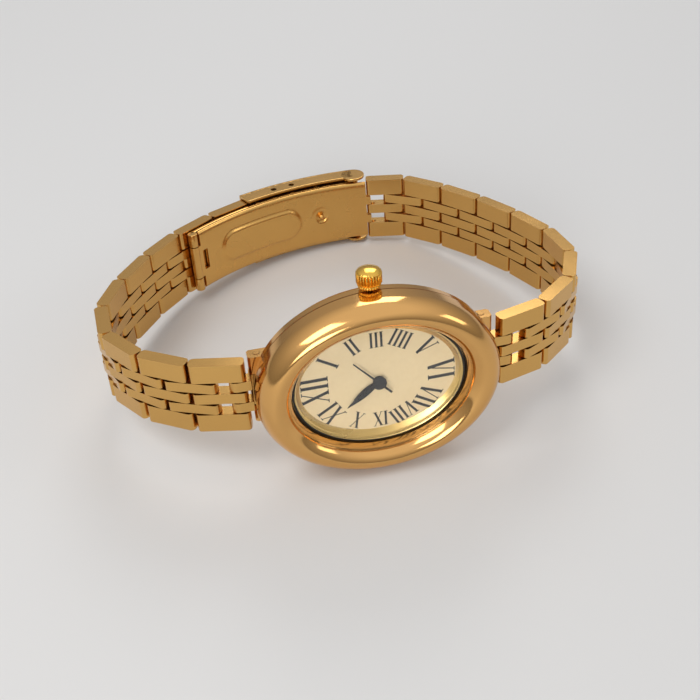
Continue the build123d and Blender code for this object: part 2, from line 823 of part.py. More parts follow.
# Safety catch: a finger flap on its own hinge outside the cover
catch_sweep = sweep_of(catch_length, catch_radius)
flap_inner = cover_outer + catch_gap
flap_outer = flap_inner + catch_thickness
with BuildPart() as safety_catch:
    rod(catch_point, catch_knuckle_radius, -catch_half_width, catch_half_width)
    lip_angle = catch_angle - catch_sweep
    arc_plate(flap_inner, flap_outer, lip_angle, catch_angle, -catch_half_width, catch_half_width)
    web(
        (
            on_curve(flap_inner, lip_angle),
            on_curve(flap_outer, lip_angle + sweep_of(catch_thickness)),
            on_curve(flap_outer + catch_lip, lip_angle - sweep_of(catch_lip_lean)),
            on_curve(flap_inner + catch_lip, lip_angle - sweep_of(catch_lip_lean + catch_thickness)),
        ),
        -catch_half_width,
        catch_half_width,
    )
    rod(catch_point, catch_pin_radius + running_clearance, -ear_end, ear_end, mode=Mode.SUBTRACT)
lay(safety_catch, "safety_catch")

# Middle leaf: from the cover's hinge back under the strap to the fold
fold_cut = sweep_of(fold_knuckle_radius + knuckle_gap, fold_radius)
neck_angle = hinge_angle - sweep_of(hinge_ear_radius * 2, middle_outer)
side_knuckle = knuckle_half_width + knuckle_gap
hinge_bore = hinge_pin_radius + running_clearance
with BuildPart() as clasp_middle_blade:
    leaf_start = fold_angle + fold_cut
    arc_plate(middle_inner, middle_outer, leaf_start, neck_angle, -leaf_half_width, leaf_half_width)
    web(
        (
            on_curve(middle_inner, neck_angle),
            on_curve(middle_outer, neck_angle),
            on_curve(hinge_radius, hinge_angle - sweep_of(hinge_pin_radius)),
            on_curve(hinge_radius - hinge_ear_radius / 2, hinge_angle),
        ),
        -leaf_half_width,
        leaf_half_width,
    )
    rod(hinge_point, hinge_ear_radius, -leaf_half_width, leaf_half_width)
    rod(hinge_point, hinge_bore, -leaf_half_width, leaf_half_width, mode=Mode.SUBTRACT)
    for low, high in ((side_knuckle, leaf_half_width), (-leaf_half_width, -side_knuckle)):
        rod(fold_point, fold_knuckle_radius, low, high)
        arc_plate(middle_inner, middle_outer, fold_angle, fold_angle + fold_cut, low, high)
        rod(fold_point, fold_pin_radius, low, high, mode=Mode.SUBTRACT)
    arc_plate(
        middle_inner,
        middle_outer,
        snap_angle - sweep_of(window_length / 2),
        snap_angle + sweep_of(window_length / 2),
        -window_half_width,
        window_half_width,
        mode=Mode.SUBTRACT,
    )
lay(clasp_middle_blade, "clasp_middle_blade")

with BuildPart() as middle_blade_pin:
    rod(fold_point, fold_pin_radius, -leaf_half_width, leaf_half_width)
lay(middle_blade_pin, "middle_blade_pin")

# Inner leaf: from the fold to a stop beside the bar of the last right link
seat_neck = free_bar_angle - sweep_of(half_thickness + knuckle_gap * 2)
stop_foot = seat_neck - sweep_of(half_thickness)
stop_reach = free_bar[0] - pin_radius - running_clearance
pressed_radius = inner_inner + recess_depth
recess_angle = bar_angle - sweep_of(recess_offset, inner_inner)


def facing_plane(angle):
    """Plane on the inner face of the inner leaf, with X along the clasp and Z out of the wrist."""
    foot = on_curve(inner_inner, angle)
    return Plane(
        (foot[0], 0, foot[1]),
        x_dir=(-sin(radians(angle)), 0, cos(radians(angle))),
        z_dir=(cos(radians(angle)), 0, sin(radians(angle))),
    )


with BuildPart() as recess:
    recess_sweep = sweep_of(recess_length / 2, inner_inner)
    recess_start = recess_angle - recess_sweep
    recess_end = recess_angle + recess_sweep
    arc_plate(inner_inner, pressed_radius, recess_start, recess_end, -leaf_half_width, leaf_half_width)
    with BuildSketch(facing_plane(recess_angle)) as slot:
        SlotOverall(recess_length, recess_width)
    extrude(slot.sketch, amount=hinge_ear_radius, both=True, mode=Mode.INTERSECT)

with BuildPart() as clasp_inner_blade:
    leaf_start = fold_angle + fold_cut
    arc_plate(inner_inner, inner_outer, leaf_start, seat_neck, -leaf_half_width, leaf_half_width)
    rod(fold_point, fold_knuckle_radius, -knuckle_half_width, knuckle_half_width)
    arc_plate(inner_inner, inner_outer, fold_angle, leaf_start, -knuckle_half_width, knuckle_half_width)
    fold_bore = fold_pin_radius + running_clearance
    rod(fold_point, fold_bore, -knuckle_half_width, knuckle_half_width, mode=Mode.SUBTRACT)
    tab_angle = sweep_of(tab_length / 2)
    arc_plate(
        inner_outer,
        cover_inner - snap_pin_radius,
        snap_angle - tab_angle,
        snap_angle + tab_angle,
        -tab_half_width,
        tab_half_width,
    )
    snap_bore = snap_pin_radius + running_clearance
    rod(snap_point, snap_bore, -leaf_half_width, leaf_half_width, mode=Mode.SUBTRACT)
    for low, high in inner_rows:
        web(
            (
                on_curve(inner_inner, stop_foot),
                on_curve(inner_outer, stop_foot),
                (stop_reach, free_bar[1] - pin_radius / 2),
                (stop_reach, free_bar[1] + half_thickness),
            ),
            low,
            high,
        )
    add(recess.part, mode=Mode.SUBTRACT)
    with BuildSketch(facing_plane(snap_angle)) as snap_pit:
        Circle(snap_pit_radius)
    extrude(snap_pit.sketch, amount=recess_depth, mode=Mode.SUBTRACT)
lay(clasp_inner_blade, "clasp_inner_blade")

# Every piece is written with the origin under the middle of the whole watch
boxes = [piece.bounding_box() for piece in laid_pieces.values()]
middle_x = (min(box.min.X for box in boxes) + max(box.max.X for box in boxes)) / 2
middle_y = (min(box.min.Y for box in boxes) + max(box.max.Y for box in boxes)) / 2
table = min(box.min.Z for box in boxes)
centring = Location((-middle_x, -middle_y, -table))
for name, piece in laid_pieces.items():
    placed = piece.moved(centring)
    placed.label = name
    export_step(placed, f"parts/{name}.step")
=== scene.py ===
"""Looks of the oval watch: polished rose gold case, champagne dial, link bracelet and clasp."""

import json
from math import atan2, cos, degrees, exp, hypot, pi, radians, sin, sqrt

import bmesh
import bpy
from mathutils import Matrix, Vector


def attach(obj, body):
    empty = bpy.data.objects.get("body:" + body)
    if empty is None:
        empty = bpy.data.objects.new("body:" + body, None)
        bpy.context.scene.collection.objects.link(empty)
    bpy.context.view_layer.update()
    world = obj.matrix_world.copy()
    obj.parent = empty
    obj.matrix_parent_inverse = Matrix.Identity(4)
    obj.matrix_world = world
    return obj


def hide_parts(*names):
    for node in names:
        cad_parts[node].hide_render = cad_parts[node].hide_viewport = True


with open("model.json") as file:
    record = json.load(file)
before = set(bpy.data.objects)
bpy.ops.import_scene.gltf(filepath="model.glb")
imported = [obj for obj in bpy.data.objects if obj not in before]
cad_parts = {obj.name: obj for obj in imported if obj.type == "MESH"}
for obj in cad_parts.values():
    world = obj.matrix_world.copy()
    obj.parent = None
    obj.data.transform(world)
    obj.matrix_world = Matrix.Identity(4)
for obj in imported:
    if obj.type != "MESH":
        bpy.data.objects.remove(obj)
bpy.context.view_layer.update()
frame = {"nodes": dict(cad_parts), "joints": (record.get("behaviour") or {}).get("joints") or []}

joints = {joint["name"]: joint for joint in frame["joints"]}

# Sizes in millimetres, as in the construction model
mm = 0.001
half_length = 15.5
oval_ratio = 0.80
bezel_widest_height = 0.8
bezel_crest_height = 3.8
bezel_crest_inset = 2.2
bezel_rear_depth = 2.2
bezel_rear_inset = 0.2
seam_depth = 1.0
seam_profile = ((-0.12, -0.12), (-0.42, -0.10), (-0.42, 0.06), (-0.05, 0.10))
bezel_foot_gap = 0.02
lip_radius = 11.1
lip_height = 0.95
lip_seat_height = 0.45
bezel_bore_radius = 11.9
crystal_radius = 10.74
crystal_seat = 0.5
crystal_edge_top = 1.1
crystal_dome = 0.95
crystal_thickness = 0.8
dial_view_length = 19.9
dial_view_height = 14.7
ring_top_length = 21.0
ring_top_height = 16.6
ring_seat_length = 11.8
ring_seat_height = 9.44
ring_foot_height = 0.01
ring_turns = 128
ring_steps = 5
dial_radius = 11.4
dial_depth = 0.39
minute_height = 0.42
hour_height = 0.20
second_height = 0.64
hand_thickness = 0.12
hour_hand_length = 3.9
minute_hand_length = 5.2
second_hand_length = 4.7
second_tail_length = 2.2
leaf_width = 0.8
second_hand_width = 0.14
hub_radius = 0.75
cap_radius = 0.9
cap_height = 0.22
hour_angle = 327
minute_angle = 324
second_angle = 48
crown_radius = 1.6
crown_start = 12.55
crown_flutes = 24
crown_flute_depth = 0.22
stem_depth = 1.9
link_thickness = 1.8
middle_row = (-0.73, 0.73)
inner_rows = ((0.91, 2.27), (-2.27, -0.91))
outer_rows = ((2.45, 5.0), (-5.0, -2.45))
pivot_overhang = 1.625
first_overhang = 1.3
edge_round = 0.16
row_corner = 0.55
link_pitch = 3.45
free_end_reach = 0.9
pin_radius = 0.38
pin_spans = ((0.73, 0.905), (2.275, 2.45), (-0.905, -0.73), (-2.45, -2.275))
clasp_radius = 40.35
leaf_half_width = 4.75
leaf_thickness = 0.5
leaf_gap = 0.2
leaf_softness = 0.07
strap_gap = 0.25
cover_gap = 0.15
cover_thickness = 0.5
cover_wall = 0.4
cover_side_gap = 0.1
cover_wall_depth = 2.25
cover_overhang = 2.2
cover_hinge_inset = 2.9
cover_softness = 0.09
hinge_radius = 40.05
hinge_ear_radius = 0.8
hinge_pin_radius = 0.4
fold_knuckle_radius = 0.7
knuckle_half_width = 2.6
knuckle_gap = 0.1
tab_half_width = 1.2
tab_length = 1.8
snap_pin_radius = 0.35
snap_share = 0.62
window_half_width = 1.7
window_length = 4.6
recess_length = 14.0
recess_width = 4.8
oval_rise = 0.34
oval_slope = 0.6
edge_roll = 0.9
edge_drop = 0.36
recess_offset = 1.2
rim_width = 0.5
rim_height = 0.10
snap_pit_radius = 0.85
snap_pit_depth = 0.2
snap_ball_radius = 0.42
slot_start = 0.35
slot_width = 0.75
slot_half_length = 1.7
stop_reach = 9.89
free_bar_height = -45.83
hole_radius = 0.45
adjusting_pitch = 3.0
adjusting_hole_count = 2
drill_overrun = 1
catch_width = 3.2
catch_length = 5.0
catch_thickness = 0.5
catch_gap = 0.15
catch_lip = 1.6
catch_lip_lean = 0.8
catch_knuckle_radius = 0.6
ear_start = 1.7
ear_end = 2.5
cell = 0.25
middle_cell = 0.6
cover_cell = 0.5
cover_row_cell = 1.0
flap_cell = 0.4

# The watch's own axes: X to 6 o'clock, Y to the crown, Z out of the crystal
inward = Vector(joints["minute_turn"]["axis"])
crown_way = Vector(joints["crown_turn"]["axis"])
outward = -inward
along = crown_way.cross(outward)
dial_centre = Vector(joints["minute_turn"]["pos_m"]) - outward * minute_height * mm
watch_axes = Matrix((along, crown_way, outward)).transposed().to_4x4()
watch = Matrix.Translation(dial_centre) @ watch_axes @ Matrix.Scale(mm, 4)


def from_world(point):
    """A point of the frame in the watch's own millimetres."""
    return watch.inverted() @ Vector(point)


# Materials
def new_material(name):
    """Material with its node tree and principled shader."""
    material = bpy.data.materials.new(name)
    material.use_nodes = True
    tree = material.node_tree
    return material, tree, tree.nodes["Principled BSDF"]


def add_node(tree, kind, **values):
    """Node with its properties and unlinked inputs set by name."""
    node = tree.nodes.new(kind)
    for key, value in values.items():
        if hasattr(node, key):
            setattr(node, key, value)
        else:
            node.inputs[key.replace("_", " ")].default_value = value
    return node


def metal(name, colour, roughness, grain_scale=900, grain_depth=0.02):
    """Polished plated metal with faint wear in its gloss and colour, and a fine grain in its bump."""
    material, tree, shader = new_material(name)
    shader.inputs["Metallic"].default_value = 1
    place = add_node(tree, "ShaderNodeTexCoord")
    wear = add_node(tree, "ShaderNodeTexNoise", Scale=160, Detail=6)
    tree.links.new(place.outputs["Object"], wear.inputs["Vector"])
    gloss = add_node(tree, "ShaderNodeMapRange")
    gloss.inputs["To Min"].default_value = roughness * 0.7
    gloss.inputs["To Max"].default_value = roughness * 1.5
    tree.links.new(wear.outputs["Fac"], gloss.inputs["Value"])
    tree.links.new(gloss.outputs[0], shader.inputs["Roughness"])
    tint = add_node(tree, "ShaderNodeMix", data_type="RGBA")
    tint.inputs[6].default_value = (*colour, 1)
    tint.inputs[7].default_value = (colour[0] * 0.93, colour[1] * 0.9, colour[2] * 0.87, 1)
    tree.links.new(wear.outputs["Fac"], tint.inputs[0])
    tree.links.new(tint.outputs[2], shader.inputs["Base Color"])
    grain = add_node(tree, "ShaderNodeTexNoise", Scale=grain_scale, Detail=3)
    tree.links.new(place.outputs["Object"], grain.inputs["Vector"])
    bump = add_node(tree, "ShaderNodeBump", Strength=grain_depth, Distance=0.0001)
    tree.links.new(grain.outputs["Fac"], bump.inputs["Height"])
    tree.links.new(bump.outputs[0], shader.inputs["Normal"])
    return material


rose_gold = metal("rose_gold", (0.74, 0.42, 0.145), 0.11)
link_gold = metal("link_gold", (0.70, 0.415, 0.13), 0.19)
satin_gold = metal("satin_gold", (0.74, 0.43, 0.13), 0.24, grain_scale=700, grain_depth=0.03)
yellow_gold = metal("yellow_gold", (0.80, 0.48, 0.09), 0.15)
ring_gold = metal("ring_gold", (0.92, 0.66, 0.26), 0.25)
steel = metal("steel", (0.62, 0.61, 0.58), 0.25)


def varied(name, colour, second, roughness, scale, bump_depth=0.0, **values):
    """Material whose colour and gloss drift softly over the surface."""
    material, tree, shader = new_material(name)
    place = add_node(tree, "ShaderNodeTexCoord")
    drift = add_node(tree, "ShaderNodeTexNoise", Scale=scale, Detail=5)
    tree.links.new(place.outputs["Object"], drift.inputs["Vector"])
    tint = add_node(tree, "ShaderNodeMix", data_type="RGBA")
    tint.inputs[6].default_value = (*colour, 1)
    tint.inputs[7].default_value = (*second, 1)
    tree.links.new(drift.outputs["Fac"], tint.inputs[0])
    tree.links.new(tint.outputs[2], shader.inputs["Base Color"])
    gloss = add_node(tree, "ShaderNodeMapRange")
    gloss.inputs["To Min"].default_value = roughness * 0.6
    gloss.inputs["To Max"].default_value = roughness * 1.4
    tree.links.new(drift.outputs["Fac"], gloss.inputs["Value"])
    tree.links.new(gloss.outputs[0], shader.inputs["Roughness"])
    if bump_depth:
        bump = add_node(tree, "ShaderNodeBump", Strength=bump_depth, Distance=0.0001)
        tree.links.new(drift.outputs["Fac"], bump.inputs["Height"])
        tree.links.new(bump.outputs[0], shader.inputs["Normal"])
    for key, value in values.items():
        shader.inputs[key.replace("_", " ")].default_value = value
    return material


glass = varied(
    "crystal_glass", (1, 1, 1), (0.98, 0.99, 1), 0.012, 90,
    Transmission_Weight=1, Specular_IOR_Level=0.18, IOR=1.5,
)
seal = varied("seal_rubber", (0.012, 0.012, 0.012), (0.02, 0.019, 0.018), 0.5, 700, 0.2)
dial_paint = varied("dial_lacquer", (0.84, 0.66, 0.38), (0.78, 0.60, 0.33), 0.5, 1800, 0.03)
black_paint = varied(
    "black_paint", (0.006, 0.006, 0.007), (0.012, 0.011, 0.011), 0.32, 1500, 0.02, Specular_IOR_Level=0.25
)
black_hands = varied(
    "black_hands", (0.005, 0.005, 0.006), (0.01, 0.01, 0.011), 0.2, 900, 0.02, Specular_IOR_Level=0.3
)


# Mesh helpers, all in the watch's own millimetres
def finish_mesh(name, mesh_data, body, material, replaced=(), sharp=35):
    """Object from a bmesh, set on its body and in place of its nodes."""
    mesh = bpy.data.meshes.new(name)
    bmesh.ops.recalc_face_normals(mesh_data, faces=mesh_data.faces)
    mesh_data.to_mesh(mesh)
    mesh_data.free()
    mesh.transform(watch)
    for face in mesh.polygons:
        face.use_smooth = True
    mesh.set_sharp_from_angle(angle=radians(sharp))
    piece = bpy.data.objects.new(name, mesh)
    bpy.context.scene.collection.objects.link(piece)
    piece.data.materials.append(material)
    even = piece.modifiers.new("even_shading", "WEIGHTED_NORMAL")
    even.keep_sharp = True
    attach(piece, body)
    if replaced:
        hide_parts(*replaced)
    return piece


def arc_points(centre, radius, start, end, steps):
    """Points on a circular arc, with angles in degrees."""
    turns = [radians(start + (end - start) * k / steps) for k in range(steps + 1)]
    return [(centre[0] + radius * cos(turn), centre[1] + radius * sin(turn)) for turn in turns]


def join_rings(shape, rings):
    """Faces between each ring of vertices and the next."""
    for first, second in zip(rings, rings[1:]):
        for k in range(len(first)):
            j = (k + 1) % len(first)
            shape.faces.new((first[k], first[j], second[j], second[k]))


def close_plate(shape, first, second):
    """Two matching outlines made faces and joined by their sides."""
    shape.faces.new(first)
    shape.faces.new(second[::-1])
    for k in range(len(first)):
        j = (k + 1) % len(first)
        shape.faces.new((first[k], second[k], second[j], first[j]))


def absorb(shape, part):
    """Add a part to a shape, the part used up."""
    carrier = bpy.data.meshes.new("carrier")
    part.to_mesh(carrier)
    part.free()
    shape.from_mesh(carrier)
    bpy.data.meshes.remove(carrier)


def turned(points, closed=True, turns=160, ratio=oval_ratio):
    """Outline of radius and height points turned about Z and narrowed across Y."""
    shape = bmesh.new()
    rings = []
    for radius, height in points:
        if radius < 1e-6:
            rings.append([shape.verts.new((0, 0, height))])
            continue
        ways = [2 * pi * k / turns for k in range(turns)]
        places = [(radius * cos(way), ratio * radius * sin(way)) for way in ways]
        rings.append([shape.verts.new((x, y, height)) for x, y in places])
    pairs = list(zip(rings, rings[1:] + rings[:1])) if closed else list(zip(rings, rings[1:]))
    for first, second in pairs:
        if len(first) == 1 and len(second) == 1:
            continue
        for k in range(turns):
            corners = [first[k % len(first)], first[(k + 1) % len(first)]]
            corners += [second[(k + 1) % len(second)], second[k % len(second)]]
            shape.faces.new(list(dict.fromkeys(corners)))
    return shape


def prism(points, low, high, to_place=lambda x, y: (x, y), shape=None):
    """Flat outline in the side view, carried across the strap from low to high."""
    shape = shape or bmesh.new()
    first = [shape.verts.new((to_place(x, y)[0], low, to_place(x, y)[1])) for x, y in points]
    second = [shape.verts.new((to_place(x, y)[0], high, to_place(x, y)[1])) for x, y in points]
    close_plate(shape, first, second)
    return shape


# Bezel
def bezel_outline():
    """Section of the bezel, with the seam's groove where it meets the band."""
    foot = (half_length - bezel_rear_inset, -bezel_rear_depth)
    crest_radius = half_length - bezel_crest_inset
    rise = bezel_crest_height - bezel_widest_height
    outer = [
        (crest_radius + bezel_crest_inset * cos(radians(a)), bezel_widest_height + rise * sin(radians(a)))
        for a in range(0, 91, 9)
    ]
    fall = bezel_crest_height - lip_height
    run = crest_radius - lip_radius
    inner = [
        (crest_radius - run * sin(radians(a)), lip_height + fall * cos(radians(a)))
        for a in range(9, 91, 9)
    ]
    seam = [(half_length + x, -seam_depth + z) for x, z in seam_profile]
    bore = [(lip_radius, lip_seat_height), (bezel_bore_radius, lip_seat_height)]
    bore.append((bezel_bore_radius, -bezel_rear_depth + bezel_foot_gap))
    return [foot] + seam + outer + inner + bore


finish_mesh("polished_bezel", turned(bezel_outline()), "case", rose_gold, ["bezel"], sharp=40)


# Crystal, ring and dial
def dome(seat, rise, steps=14):
    """Heights of a shallow dome from its rim to its middle."""
    turns = [radians(90 * k / steps) for k in range(steps + 1)]
    return [(crystal_radius * cos(turn), seat + rise * (1 - cos(turn) ** 2)) for turn in turns]


crystal_top = dome(crystal_edge_top, crystal_dome + crystal_thickness - crystal_edge_top + crystal_seat)
crystal_shape = turned(crystal_top + dome(crystal_seat, crystal_dome)[::-1], turns=120)
crystal = finish_mesh("domed_crystal", crystal_shape, "case", glass, ["crystal"], sharp=50)
crystal.visible_shadow = False

ring = bmesh.new()


def ring_level(length, height, level):
    """Oval ring of vertices from its half sizes."""
    turns = [2 * pi * j / ring_turns for j in range(ring_turns)]
    return [ring.verts.new((length * cos(turn), height * sin(turn), level)) for turn in turns]


levels = []
for k in range(ring_steps + 1):
    share = k / ring_steps
    length = (dial_view_length + (ring_top_length - dial_view_length) * share) / 2
    height = (dial_view_height + (ring_top_height - dial_view_height) * share) / 2
    levels.append(ring_level(length, height, lip_seat_height * share))
levels.append(ring_level(ring_seat_length, ring_seat_height, lip_seat_height))
levels.append(ring_level(ring_seat_length, ring_seat_height, ring_foot_height))
join_rings(ring, levels + levels[:1])
finish_mesh("sloped_ring", ring, "case", ring_gold, ["rehaut_ring"], sharp=35)

dial_points = [(0, 0), (dial_radius, 0), (dial_radius, -dial_depth), (0, -dial_depth)]
dial_shape = turned(dial_points, closed=False, turns=ring_turns)
finish_mesh("dial_plate", dial_shape, "case", dial_paint, ["dial"], sharp=30)

# Numerals: serif strokes, feet towards the centre
glyph_width = {"I": 0.22, "V": 0.52, "X": 0.54}
glyph_gap = 0.07
thick = 0.13
thin = 0.045
serif = 0.035
numeral_length = 8.05
numeral_height = 5.95
numeral_low = 2.2
numeral_extra = 1.3
numeral_angles = {
    "XII": 0, "I": 40, "II": 68, "III": 90, "IIII": 112, "V": 140,
    "VI": 180, "VII": 220, "VIII": 248, "IX": 270, "X": 292, "XI": 320,
}
layer = 0.012
stroke_step = 0.0008


def stroke(x0, y0, x1, y1, width):
    """Slanting stroke with level ends."""
    return [(x0 - width / 2, y0), (x0 + width / 2, y0), (x1 + width / 2, y1), (x1 - width / 2, y1)]


def glyph(letter, x):
    """Strokes of one numeral letter, one unit high."""
    width = glyph_width[letter]
    middle = x + width / 2
    if letter == "I":
        return [
            stroke(middle, 0, middle, 1, thick),
            stroke(middle, 0, middle, serif, width),
            stroke(middle, 1 - serif, middle, 1, width),
        ]
    if letter == "V":
        return [
            stroke(x + thick * 0.8, 1, middle + thick * 0.1, 0, thick),
            stroke(x + width - thin, 1, middle + thick * 0.1, 0, thin),
            stroke(x + thick * 0.8, 1 - serif, x + thick * 0.8, 1, 0.24),
            stroke(x + width - thin, 1 - serif, x + width - thin, 1, 0.16),
        ]
    return [
        stroke(x + thick * 0.7, 1, x + width - thick * 0.7, 0, thick),
        stroke(x + width - thin * 1.5, 1, x + thin * 1.5, 0, thin),
        stroke(x + thick * 0.7, 1 - serif, x + thick * 0.7, 1, 0.22),
        stroke(x + width - thin * 1.5, 1 - serif, x + width - thin * 1.5, 1, 0.15),
        stroke(x + width - thick * 0.7, 0, x + width - thick * 0.7, serif, 0.22),
        stroke(x + thin * 1.5, 0, x + thin * 1.5, serif, 0.15),
    ]


numerals = bmesh.new()
for text, angle in numeral_angles.items():
    size = numeral_low + numeral_extra * cos(radians(angle)) ** 2
    centre = Vector((-numeral_length * cos(radians(angle)), numeral_height * sin(radians(angle)), 0))
    up = centre.normalized()
    right = Vector((up.y, -up.x, 0))
    total = sum(glyph_width[letter] for letter in text) + glyph_gap * (len(text) - 1)
    x = -total / 2
    for letter in text:
        for number, points in enumerate(glyph(letter, x)):
            corners = [centre + (right * px + up * (py - 0.5)) * size for px, py in points]
            top = layer + stroke_step * number
            numerals.faces.new([numerals.verts.new((p.x, p.y, top)) for p in corners])
        x += glyph_width[letter] + glyph_gap
finish_mesh("roman_numerals", numerals, "case", black_paint)


# Hands
def clock_way(angle):
    """Direction on the dial at a clockwise angle from 12 o'clock."""
    return Vector((-cos(radians(angle)), sin(radians(angle)), 0))


def hand_plate(outline, angle, base):
    """Raised plate of a hand, with its length along a clock angle."""
    way = clock_way(angle)
    side = Vector((-way.y, way.x, 0))
    shape = bmesh.new()
    bottom = [shape.verts.new(way * x + side * y + Vector((0, 0, base))) for x, y in outline]
    top = [shape.verts.new(way * x + side * y + Vector((0, 0, base + hand_thickness))) for x, y in outline]
    close_plate(shape, bottom, top)
    return shape


def leaf_outline(length):
    """Leaf from the hub to its tip."""
    upper = []
    for k in range(17):
        share = k / 16
        swell = sin(pi * share ** 0.85) * leaf_width / 2
        upper.append((length * share, max(swell, 0.02)))
    return [(x, -y) for x, y in upper] + [(x, y) for x, y in reversed(upper)]


def add_disc(shape, radius, low, high, dome_height=0, sides=48):
    """Round hub, with a dome on top if it has a height."""
    levels = [(radius, low), (radius, high)]
    if dome_height:
        rises = [radians(a) for a in range(10, 90, 10)]
        levels += [(radius * cos(rise), high + dome_height * sin(rise)) for rise in rises]
    turns = [2 * pi * k / sides for k in range(sides)]
    rings = [[shape.verts.new((r * cos(turn), r * sin(turn), z)) for turn in turns] for r, z in levels]
    join_rings(shape, rings)
    shape.faces.new(rings[-1])
    shape.faces.new(rings[0][::-1])


for name, body, node, angle, base, length in (
    ("hour_leaf", "hour_hand", "hour_hand", hour_angle, hour_height, hour_hand_length),
    ("minute_leaf", "minute_hand", "minute_hand", minute_angle, minute_height, minute_hand_length),
):
    shape = hand_plate(leaf_outline(length), angle, base)
    add_disc(shape, hub_radius, base, base + hand_thickness)
    finish_mesh(name, shape, body, black_hands, [node], sharp=30)

needle_outline = [
    (-second_tail_length, -second_hand_width),
    (second_hand_length, -second_hand_width / 2),
    (second_hand_length, second_hand_width / 2),
    (-second_tail_length, second_hand_width),
]
needle = hand_plate(needle_outline, second_angle, second_height)
add_disc(needle, cap_radius, second_height, second_height + hand_thickness, cap_height)
finish_mesh("second_needle", needle, "second_hand", black_hands, ["second_hand"], sharp=30)


# Crown: toothed collar, fluted grip and a domed cap
def crown_shape():
    """Crown about its own axis, each level with its radius share, reach and depth of flute."""
    shape = bmesh.new()
    steps = crown_flutes * 12
    levels = [
        (0.80, 0.0, 0), (0.89, 0.05, 0.5), (0.90, 0.12, 0.6), (0.90, 0.28, 0.6), (0.84, 0.34, 0),
        (0.84, 0.42, 0), (0.97, 0.50, 0.8), (1.0, 0.62, 1), (1.0, 1.74, 1), (0.985, 1.86, 0.8),
        (0.95, 1.98, 0.2), (0.90, 2.07, 0), (0.82, 2.15, 0), (0.70, 2.23, 0), (0.55, 2.30, 0),
        (0.38, 2.35, 0), (0.20, 2.38, 0), (0.02, 2.39, 0),
    ]
    rings = []
    for share, reach, flute in levels:
        ring_points = []
        for k in range(steps):
            turn = 2 * pi * k / steps
            groove = crown_flute_depth * flute * (0.5 + 0.5 * cos(crown_flutes * turn)) ** 2
            radius = crown_radius * share - groove
            place = (radius * cos(turn), crown_start + reach, -stem_depth + radius * sin(turn))
            ring_points.append(shape.verts.new(place))
        rings.append(ring_points)
    join_rings(shape, rings)
    shape.faces.new(rings[-1])
    shape.faces.new(rings[0][::-1])
    return shape


finish_mesh("fluted_crown", crown_shape(), "crown", yellow_gold, ["crown"], sharp=70)


# Bracelet links
def bar_outline(start, end, steps=5):
    """Side outline of a row, with generous rounded corners."""
    half = link_thickness / 2
    corners = (
        (end - row_corner, half - row_corner, 0),
        (start + row_corner, half - row_corner, 90),
        (start + row_corner, -half + row_corner, 180),
        (end - row_corner, -half + row_corner, 270),
    )
    points = []
    for x, y, angle in corners:
        points += arc_points((x, y), row_corner, angle, angle + 90, steps)
    return points


def add_bar(shape, to_place, outline, low, high):
    """Row of a link with rounded long edges."""
    part = bmesh.new()
    prism(outline, low, high, to_place, part)
    edges = [edge for edge in part.edges if edge.calc_face_angle(0) > radians(60)]
    bmesh.ops.bevel(
        part, geom=edges, offset=edge_round, segments=3, profile=0.5, affect="EDGES", clamp_overlap=True
    )
    absorb(shape, part)


def pivots_of(half):
    """Pivots of one half of the bracelet in the side view, from the case out."""
    names = sorted(name for name in joints if name.startswith(f"{half}_pivot"))
    return [from_world(joints[name]["pos_m"]) for name in names]


def middle_of(node):
    """Middle of a node's corners, in the watch's millimetres."""
    corners = [from_world(vertex.co) for vertex in frame["nodes"][node].data.vertices]
    return sum(corners, Vector()) / len(corners)


for half in ("left", "right"):
    pivots = pivots_of(half)
    if half == "left":
        pivots.append(from_world(joints["cover_pivot"]["pos_m"]))
    for number, pivot in enumerate(pivots):
        kind = "pinned" if number % 2 == 0 else "paired"
        body = f"{half}_link_{number + 1:02d}"
        node = f"{body}_{kind}"
        if node not in frame["nodes"]:
            continue
        last = number + 1 == len(pivots)
        way = (middle_of(node) - pivot) if last else (pivots[number + 1] - pivot)
        pitch = link_pitch if last else way.length
        way = Vector((way.x, 0, way.z)).normalized()
        rise = Vector((way.z, 0, -way.x)) if half == "left" else Vector((-way.z, 0, way.x))
        start = -first_overhang if number == 0 else -pivot_overhang
        end = pitch + (free_end_reach if last and half == "right" else pivot_overhang)

        def to_place(x, y, pivot=pivot, way=way, rise=rise):
            """Side-view place of a point along and across this link."""
            point = pivot + way * x + rise * y
            return point.x, point.z

        shape = bmesh.new()
        spans = outer_rows + (middle_row,) if kind == "pinned" else inner_rows
        for low, high in spans:
            add_bar(shape, to_place, bar_outline(start, end), low, high)
        if kind == "pinned":
            for reach in (0, pitch):
                circle = arc_points((reach, 0), pin_radius, 0, 345, 23)
                for low, high in pin_spans:
                    prism(circle, low, high, to_place, shape)
        finish_mesh(f"{body}_rows", shape, body, link_gold, [node], sharp=45)

# Clasp: sheets bent about one centre, in the side view
cover_bar = from_world(joints["cover_pivot"]["pos_m"])
last_pivot = from_world(joints["left_pivot_18"]["pos_m"])
hinge_point = from_world(joints["clasp_open"]["pos_m"])
fold_point = from_world(joints["clasp_unfold"]["pos_m"])
catch_point = from_world(joints["safety_catch_lift"]["pos_m"])
chord = cover_bar - last_pivot
chord_middle = (cover_bar + last_pivot) / 2
to_wrist = Vector((-chord.z, 0, chord.x)).normalized()
curve_centre = chord_middle + to_wrist * sqrt(clasp_radius ** 2 - chord.length_squared / 4)


def angle_of(point):
    """Angle of a point about the centre of the clasp's curves."""
    return degrees(atan2(point.z - curve_centre.z, point.x - curve_centre.x))


def on_curve(radius, angle):
    """Side-view point at a radius and angle about the centre of the clasp's curves."""
    return curve_centre.x + radius * cos(radians(angle)), curve_centre.z + radius * sin(radians(angle))


def sweep_of(length, radius=clasp_radius):
    """Angle that a length takes up along one of the clasp's curves."""
    return degrees(length / radius)


